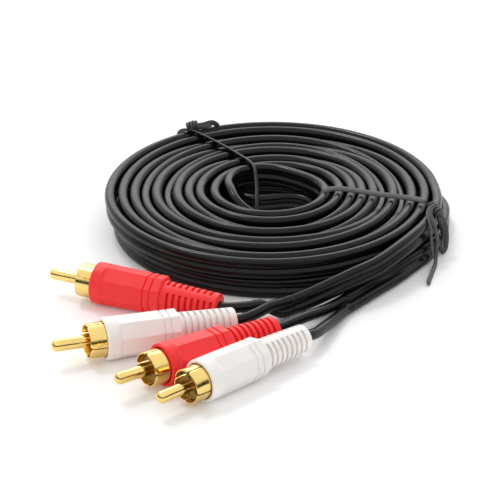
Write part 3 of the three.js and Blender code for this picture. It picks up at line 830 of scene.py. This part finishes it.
def quarter_turn(middle, radius, steps, from_angle=0.0):
    """Points of a quarter circle in (along, radius), which starts from facing forwards."""
    points = []
    for k in range(steps + 1):
        angle = math.radians(from_angle + 90.0 * k / steps)
        points.append((middle[0] - radius * math.cos(angle), middle[1] + radius * math.sin(angle)))
    return points


def body_profile():
    """Outline of the moulding from its front recess to the mouth of its boot."""
    recess = SHELL_RADIUS + RECESS_CLEARANCE
    narrow = recess - RECESS_LIP[1]
    profile = [(RECESS_DEPTH, 0.0), (RECESS_DEPTH, narrow), (RECESS_LIP[0], narrow), (0.0, recess)]
    profile += quarter_turn((COLLAR_ROUND, COLLAR_RADIUS - COLLAR_ROUND), COLLAR_ROUND, 8)
    rows = [COLLAR_RING, COLLAR_LENGTH]
    rows += [COLLAR_LENGTH + FLAT_RING_STEP * k for k in range(1, FLAT_RINGS + 1)]
    profile += [(along, COLLAR_RADIUS) for along in rows + GRIP_RINGS]
    for middle in GROOVES:
        for along, sunk in GROOVE_SECTION:
            at = middle + along * GROOVE_HALF_WIDTH
            profile.append((at, COLLAR_RADIUS - sunk * GROOVE_DEPTH))
    fillet = BOOT_START + BOOT_FILLET[0]
    profile += [
        (GRIP_LAST_RING, COLLAR_RADIUS), (GRIP_LENGTH, COLLAR_RADIUS),
        (BOOT_START, SHOULDER_RADIUS), (BOOT_START + 0.01, BOOT_FRONT_RADIUS + BOOT_FILLET[1]),
        (fillet, boot_radius(fillet)),
    ]
    places = slot_places(0) + slot_places(1)
    edges = sorted(place + side * SLOT_WIDTH / 2 for place in places for side in (-1, 1))
    profile += [(place, boot_radius(place)) for place in edges]
    centre = (BODY_LENGTH - BOOT_END_ROUND, BOOT_END_RADIUS - BOOT_END_ROUND)
    profile += quarter_turn(centre, BOOT_END_ROUND, 5, 90.0)
    inward, wider = MOUTH_CHAMFER
    floor = BODY_LENGTH - MOUTH_DEPTH
    return profile + [
        (BODY_LENGTH, MOUTH_RADIUS + wider), (BODY_LENGTH - inward, MOUTH_RADIUS),
        (floor, MOUTH_RADIUS), (floor, 0.0),
    ]


def flatten_grip(bm):
    """Eight flats that start abruptly behind the round collar and narrow a little to the rear."""
    half_side = math.cos(math.radians(FLAT_ANGLE / 2))
    clear = (COLLAR_RADIUS + FLAT_RISE) / half_side
    for vert in bm.verts:
        along = vert.co.x / MM
        radius = math.hypot(vert.co.y, vert.co.z) / MM
        if not COLLAR_LENGTH < along < BOOT_START + 0.005 or radius < BOOT_FRONT_RADIUS + 0.3:
            continue
        angle = math.degrees(math.atan2(vert.co.y, vert.co.z)) % FLAT_ANGLE
        offset = min(angle, FLAT_ANGLE - angle)
        if along < FLATS_FULL:
            share = (along - COLLAR_LENGTH) / (FLATS_FULL - COLLAR_LENGTH)
            corner = clear + (COLLAR_RADIUS - clear) * share
        else:
            share = min(1.0, (along - FLATS_FULL) / (GRIP_LENGTH - FLATS_FULL))
            corner = COLLAR_RADIUS + (GRIP_REAR_RADIUS - COLLAR_RADIUS) * share
        limit = corner * half_side / math.cos(math.radians(offset))
        target = min(COLLAR_RADIUS, limit) - (COLLAR_RADIUS - radius)
        if radius > target:
            vert.co.y *= target / radius
            vert.co.z *= target / radius


def cut_boot_slots(bm, first_row):
    """Sinks two opposite rows of cross slots into the boot, each down to a round floor."""
    outside = list(bm.faces)
    for row in range(2):
        middle_angle = first_row + 180.0 * row
        for place in slot_places(row):
            window = []
            for face in outside:
                if not face.is_valid:
                    continue
                centre = face.calc_center_median() / MM
                radius = math.hypot(centre.y, centre.z)
                if abs(centre.x - place) > SLOT_WIDTH / 2 or radius < BOOT_HOLLOW:
                    continue
                angle = math.degrees(math.atan2(centre.y, centre.z)) - middle_angle
                if abs((angle + 180.0) % 360.0 - 180.0) < SLOT_HALF_ANGLE:
                    window.append(face)
            sink_window(bm, window, boot_radius(place) - SLOT_DEPTH)


def sink_window(bm, window, floor):
    bmesh.ops.inset_region(
        bm, faces=window, thickness=0.0, depth=0.0, use_boundary=True, use_even_offset=True,
    )
    for vert in {vert for face in window for vert in face.verts}:
        share = min(1.0, floor * MM / math.hypot(vert.co.y, vert.co.z))
        vert.co.y *= share
        vert.co.z *= share


def plug_body(name, matrix, finish, first_row):
    bm = bmesh.new()
    spin_profile(bm, body_profile(), BODY_SEGMENTS)
    flatten_grip(bm)
    cut_boot_slots(bm, first_row)
    piece = finished_piece(f"{name}_moulding", bm, finish, BODY_CREASE, matrix)
    bevel = piece.modifiers.new("Moulded edges", "BEVEL")
    bevel.width = bpy.context.scene.lead_plug.edge_radius
    bevel.segments = 2
    bevel.limit_method = "ANGLE"
    bevel.angle_limit = math.radians(BODY_CREASE)
    bevel.harden_normals = True
    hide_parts(f"{name}_moulded_body")


def plug_pin(name, matrix):
    bm = bmesh.new()
    tip = -PIN_REACH
    profile = [(tip, 0.0), (tip + PIN_TIP[0], PIN_TIP[1])]
    first, span = PIN_DOME_ANGLES
    for k in range(1, PIN_DOME_STEPS + 1):
        angle = math.radians(first + span * k / PIN_DOME_STEPS)
        profile.append((tip + PIN_DOME * (1 - math.cos(angle)), PIN_RADIUS * math.sin(angle)))
    rings = (tip + PIN_DOME * PIN_DOME_END, *PIN_RINGS, PIN_REAR)
    profile += [(along, PIN_RADIUS) for along in rings] + [(PIN_REAR, 0.0)]
    spin_profile(bm, profile, PIN_SEGMENTS)
    piece = finished_piece(f"{name}_pin", bm, "Gold", PIN_CREASE, matrix)
    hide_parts(f"{name}_centre_pin")


def petal_profile():
    """Section of the shell's wall, with a rolled lip at its front."""
    outer = SHELL_RADIUS
    inner = SHELL_RADIUS - SHELL_WALL
    lip = [(along - SHELL_REACH, outer - sunk) for along, sunk in LIP_OUTER]
    lip += [(along - SHELL_REACH, inner + raised) for along, raised in LIP_INNER]
    outside = [(SHELL_REAR, outer), (SHELL_RING, outer), (PETAL_SHOULDER, outer - PETAL_DRAFT)]
    return outside + lip + [(SHELL_RING, inner), (SHELL_REAR, inner)]


def round_petal_corners(verts, gap):
    """Draws the front edge of each petal back towards its two slit edges."""
    for vert in verts:
        along = vert.co.x / MM
        if along >= PETAL_SHOULDER:
            continue
        angle = (math.degrees(math.atan2(vert.co.y, vert.co.z)) + 45.0) % 90.0
        from_slit = max(0.0, min(angle, 90.0 - angle) - gap / 2) * math.radians(1.0) * SHELL_RADIUS
        inside = max(0.0, PETAL_CORNER - from_slit)
        back = PETAL_CORNER - math.sqrt(max(0.0, PETAL_CORNER ** 2 - inside ** 2))
        kept = 1 - back / (SHELL_REACH + PETAL_SHOULDER)
        vert.co.x = (PETAL_SHOULDER + (along - PETAL_SHOULDER) * kept) * MM


def plug_shell(name, matrix, shell_turn):
    """Four springy petals of the ground shell."""
    bm = bmesh.new()
    gap = math.degrees(2 * math.asin(SHELL_SLOT / 2 / SHELL_RADIUS))
    for petal in range(4):
        start = Matrix.Rotation(math.radians(petal * 90.0 - 45.0 + gap / 2), 4, "X")
        verts = [bm.verts.new(start @ Vector((x * MM, 0.0, r * MM))) for x, r in petal_profile()]
        edges = [bm.edges.new((verts[i], verts[(i + 1) % len(verts)])) for i in range(len(verts))]
        made = bmesh.ops.spin(
            bm, geom=verts + edges, cent=(0, 0, 0), axis=(1, 0, 0),
            angle=math.radians(90.0 - gap), steps=PETAL_STEPS, use_merge=False, use_duplicate=False,
        )
        last = [e for e in made["geom_last"] if isinstance(e, bmesh.types.BMEdge)]
        bmesh.ops.holes_fill(bm, edges=edges, sides=0)
        bmesh.ops.holes_fill(bm, edges=last, sides=0)
    round_petal_corners(bm.verts, gap)
    for face in bm.faces:
        face.smooth = True
    turned = matrix @ Matrix.Rotation(math.radians(shell_turn), 4, "X")
    piece = finished_piece(f"{name}_shell", bm, "Gold", SHELL_CREASE, turned)
    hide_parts(f"{name}_ground_shell")


# Ties

def strip_points(route, spacing=TIE_SPACING):
    return [placed(p) for p in smooth_route(route, spacing)]


def wrap_route(start, end, turns):
    """Strand wound close round itself between two points, fullest in the middle."""
    axis = Vector(end) - Vector(start)
    length = axis.length
    axis.normalize()
    side = axis.cross(Vector((0, 0, 1))).normalized()
    up = side.cross(axis)
    points = []
    count = turns * WRAP_POINTS
    least, added = WRAP_SHARES
    for k in range(count + 1):
        share = k / count
        angle = math.tau * turns * share
        radius = KNOT_RADIUS * (least + added * math.sin(math.pi * share))
        radius += WRAP_WOBBLE[0] * math.sin(share * WRAP_WOBBLE[1])
        offset = side * math.cos(angle) + up * math.sin(angle)
        points.append(tuple(Vector(start) + axis * length * share + offset * radius))
    return points


def knot_core(start, end):
    """The pair of twisted ends that the wraps close over."""
    middle = (Vector(start) + Vector(end)) / 2 + Vector((0.0, 0.0, KNOT_LIFT))
    return [start, tuple(middle), end]


def tie_piece(name, tie):
    bm = bmesh.new()
    section = [(x * MM, y * MM) for x, y in strip_section(TIE_WIDTH, TIE_THICKNESS)]
    band = [(x * MM, y * MM) for x, y in strip_section(STRAP_WIDTH, TIE_THICKNESS)]
    strap = strip_points(tie["strap"])
    sweep(bm, strap, carried_frames(strap, tie["outward"]), band, ends=1.0)
    start, end, turns = tie["knot"]
    strand = round_section(TIE_STRAND_RADIUS * MM, TIE_STRAND_SIDES)
    middle = round_section(KNOT_RADIUS * KNOT_CORE_SHARE * MM, KNOT_CORE_SIDES)
    core = knot_core(start, end)
    for route, outline in ((wrap_route(start, end, turns), strand), (core, middle)):
        points = strip_points(route, KNOT_SPACING)
        sweep(bm, points, carried_frames(points, (0, 0, 1)), outline, ends=1.0)
    for tail, twist in zip(tie["tails"], TAIL_TWISTS):
        points = strip_points(tail)
        frames = carried_frames(points, TAIL_FACING, math.radians(twist))
        sweep(bm, points, frames, section, ends=1.0)
    piece = finished_piece(f"{name}_strip", bm, "Tie")
    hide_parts(name)


# Operators

class LEAD_OT_camera(bpy.types.Operator):
    """Set up the camera at the photograph's angle"""

    bl_idname = "lead.camera"
    bl_label = "Add Camera"

    def execute(self, context):
        data = bpy.data.cameras.new("Camera")
        data.sensor_fit = "HORIZONTAL"
        data.sensor_width = SENSOR_WIDTH
        data.lens = CAMERA_LENS
        data.clip_start, data.clip_end = CAMERA_CLIP
        camera = bpy.data.objects.new("Camera", data)
        elevation = math.radians(CAMERA_ELEVATION)
        back = CAMERA_DISTANCE * math.cos(elevation)
        rise = CAMERA_DISTANCE * math.sin(elevation)
        camera.location = placed((0.0, -back, rise))
        camera.rotation_euler = (math.pi / 2 - elevation, 0.0, 0.0)
        context.scene.collection.objects.link(camera)
        context.scene.camera = camera
        return {"FINISHED"}


class LEAD_OT_twin_cable(bpy.types.Operator):
    """Wind the twin cable into its coil, with both ends free"""

    bl_idname = "lead.twin_cable"
    bl_label = "Add Coiled Cable"

    def execute(self, context):
        settings = context.scene.lead_cable
        rows = smooth_route(twin_route(), settings.ring_spacing)
        points = [Vector(row[:3]) for row in rows]
        frames = upright_frames(points, [row[3] for row in rows])
        bm = bmesh.new()
        sweep(bm, points, frames, twin_section(settings.core_diameter / 2))
        piece = finished_piece("twin_cable", bm, "Jacket")
        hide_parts("cable_coil", "twin_lead_a", "twin_lead_b")
        for key, ring, step in (("a", 0, 1), ("b", -1, -1)):
            offset = frames[ring][1] * settings.core_diameter / 2
            for label, at in (("split", ring), ("before", ring + step * 2)):
                context.scene[f"{label}_{key}"] = [
                    list(points[at] + offset * way) for way in (1, -1)
                ]
        return {"FINISHED"}


class LEAD_OT_single_leads(bpy.types.Operator):
    """Run each single lead from the split of the twin into its plug"""

    bl_idname = "lead.single_leads"
    bl_label = "Add Single Leads"

    def execute(self, context):
        radius = context.scene.lead_cable.core_diameter / 2
        for name, route in LEADS.items():
            key, way = SPLIT_OF[name]
            index = 0 if way == 1 else 1
            before = Vector(context.scene[f"before_{key}"][index])
            split = Vector(context.scene[f"split_{key}"][index])
            matrix = plug_matrix(name)
            inside = [matrix @ Vector((at * MM, 0, 0)) for at in LEAD_INSIDE]
            anchors = [before, split] + [placed(p) for p in round_coil(route)] + inside
            rows = smooth_route([tuple(p) for p in anchors], LEAD_SPACING * MM)
            points = [Vector(row) for row in rows]
            bm = bmesh.new()
            section = round_section(radius, LEAD_SIDES)
            sweep(bm, points, carried_frames(points, (0, 0, 1)), section)
            piece = finished_piece(f"{name}_single_lead", bm, "Jacket")
            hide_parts(f"{name}_lead")
        return {"FINISHED"}


class LEAD_OT_plugs(bpy.types.Operator):
    """Mould the four plugs and fit their contacts"""

    bl_idname = "lead.plugs"
    bl_label = "Add Plugs"

    def execute(self, context):
        for name, plug in PLUGS.items():
            matrix = plug_matrix(name)
            plug_body(name, matrix, plug["finish"], plug["first_row"])
            plug_pin(name, matrix)
            plug_shell(name, matrix, plug["shell_turn"])
        return {"FINISHED"}


class LEAD_OT_inner_parts(bpy.types.Operator):
    """Give the insulators and conductors inside the plugs their finish"""

    bl_idname = "lead.inner_parts"
    bl_label = "Finish Inner Parts"

    def execute(self, context):
        materials = finishes()
        parts = {"insulator": "Insulation", "dielectric": "Insulation", "conductor": "Copper"}
        for name in PLUGS:
            for part, finish in parts.items():
                node = frame["nodes"][f"{name}_{part}"]
                for slot in node.material_slots:
                    slot.material = materials[finish]
        return {"FINISHED"}


class LEAD_OT_ties(bpy.types.Operator):
    """Twist the two ties round the coil"""

    bl_idname = "lead.ties"
    bl_label = "Add Twist Ties"

    def execute(self, context):
        tie_piece("twist_tie_right", TIE_RIGHT)
        tie_piece("twist_tie_left", TIE_LEFT)
        return {"FINISHED"}


def stage_world(scene):
    """Even light, with a white backdrop in view and a dark room low down before the lead."""
    world = bpy.data.worlds.new("Studio")
    scene.world = world
    world.use_nodes = True
    tree = world.node_tree
    nodes = tree.nodes
    link = tree.links.new
    light = nodes["Background"]
    preset(light, {"Color": WHITE, "Strength": scene.lead_stage.sky_level})
    direction = nodes.new("ShaderNodeTexCoord")
    parts = nodes.new("ShaderNodeSeparateXYZ")
    link(direction.outputs["Generated"], parts.inputs["Vector"])
    path = nodes.new("ShaderNodeLightPath").outputs
    ahead, low = (
        range_node(tree, parts.outputs[axis], edges, "SMOOTHSTEP").outputs["Result"]
        for axis, edges in (("Y", ROOM_AHEAD), ("Z", ROOM_LOW))
    )
    dark = math_node(tree, "MULTIPLY", ahead, low)
    room = nodes.new("ShaderNodeMix")
    room.data_type = "RGBA"
    room.inputs["A"].default_value = WHITE
    room.inputs["B"].default_value = (*scene.lead_stage.room_colour, 1.0)
    link(math_node(tree, "MULTIPLY", dark, path["Is Glossy Ray"]), room.inputs["Factor"])
    backdrop = nodes.new("ShaderNodeBackground")
    backdrop.inputs["Strength"].default_value = 1.0
    link(room.outputs["Result"], backdrop.inputs["Color"])
    either = math_node(tree, "MAXIMUM", path["Is Camera Ray"], path["Is Glossy Ray"])
    mix = nodes.new("ShaderNodeMixShader")
    link(math_node(tree, "MAXIMUM", either, path["Is Transmission Ray"]), mix.inputs["Fac"])
    link(light.outputs["Background"], mix.inputs[1])
    link(backdrop.outputs["Background"], mix.inputs[2])
    link(mix.outputs["Shader"], nodes["World Output"].inputs["Surface"])


def stage_lamps(scene):
    """A soft sun from above and a wide soft box behind the object."""
    settings = scene.lead_stage
    lamp = bpy.data.lights.new("Large lamp", "SUN")
    lamp.energy = settings.lamp_level
    lamp.angle = math.radians(SUN_WIDTH)
    sun = bpy.data.objects.new("Large lamp", lamp)
    sun.rotation_euler = (*map(math.radians, SUN_TILT), 0.0)
    scene.collection.objects.link(sun)
    box = bpy.data.lights.new("Soft box", "AREA")
    box.shape = "RECTANGLE"
    box.size, box.size_y = BOX_SIZE
    box.energy = settings.box_power
    panel = bpy.data.objects.new("Soft box", box)
    panel.location = BOX_PLACE
    panel.rotation_euler = (math.radians(BOX_TILT), 0.0, 0.0)
    scene.collection.objects.link(panel)


class LEAD_OT_stage(bpy.types.Operator):
    """Add the white floor, the soft lamp and the even light"""

    bl_idname = "lead.stage"
    bl_label = "Add Stage"

    def execute(self, context):
        bm = bmesh.new()
        bmesh.ops.create_grid(bm, x_segments=1, y_segments=1, size=FLOOR_SIZE)
        mesh = bpy.data.meshes.new("Floor")
        bm.to_mesh(mesh)
        bm.free()
        floor = bpy.data.objects.new("Floor", mesh)
        context.scene.collection.objects.link(floor)
        material = bpy.data.materials.new("Floor white")
        material.use_nodes = True
        surface = material.node_tree.nodes["Principled BSDF"]
        preset(surface, {
            "Base Color": WHITE, "Emission Color": WHITE, "Roughness": 1.0,
            "Specular IOR Level": 0.0,
        })
        path = material.node_tree.nodes.new("ShaderNodeLightPath")
        seen = path.outputs["Is Camera Ray"]
        glow = math_node(material.node_tree, "MULTIPLY", seen, FLOOR_GLOW)
        material.node_tree.links.new(glow, surface.inputs["Emission Strength"])
        mesh.materials.append(material)
        stage_lamps(context.scene)
        stage_world(context.scene)
        context.scene.view_settings.view_transform = "Standard"
        return {"FINISHED"}


class LEAD_PT_panel(bpy.types.Panel):
    """Pieces of the coiled lead"""

    bl_idname = "LEAD_PT_panel"
    bl_label = "Coiled Phono Lead"
    bl_space_type = "VIEW_3D"
    bl_region_type = "UI"
    bl_category = "Phono Lead"

    def draw(self, context):
        layout = self.layout
        scene = context.scene
        for settings in (scene.lead_cable, scene.lead_plug, scene.lead_stage):
            for name in settings.bl_rna.properties.keys():
                if name not in ("rna_type", "name"):
                    layout.prop(settings, name)
        for operator in OPERATORS:
            layout.operator(operator.bl_idname)


SETTINGS = (LeadCableSettings, LeadPlugSettings, LeadStageSettings)
OPERATORS = (
    LEAD_OT_camera,
    LEAD_OT_twin_cable,
    LEAD_OT_plugs,
    LEAD_OT_single_leads,
    LEAD_OT_inner_parts,
    LEAD_OT_ties,
    LEAD_OT_stage,
)


def register():
    for item in SETTINGS + OPERATORS + (LEAD_PT_panel,):
        bpy.utils.register_class(item)
    bpy.types.Scene.lead_cable = bpy.props.PointerProperty(type=LeadCableSettings)
    bpy.types.Scene.lead_plug = bpy.props.PointerProperty(type=LeadPlugSettings)
    bpy.types.Scene.lead_stage = bpy.props.PointerProperty(type=LeadStageSettings)


def unregister():
    del bpy.types.Scene.lead_cable
    del bpy.types.Scene.lead_plug
    del bpy.types.Scene.lead_stage
    for item in reversed(SETTINGS + OPERATORS + (LEAD_PT_panel,)):
        bpy.utils.unregister_class(item)


def main():
    register()
    bpy.ops.lead.camera()
    bpy.ops.lead.twin_cable()
    bpy.ops.lead.plugs()
    bpy.ops.lead.single_leads()
    bpy.ops.lead.inner_parts()
    bpy.ops.lead.ties()
    bpy.ops.lead.stage()


if __name__ == "__main__":
    main()
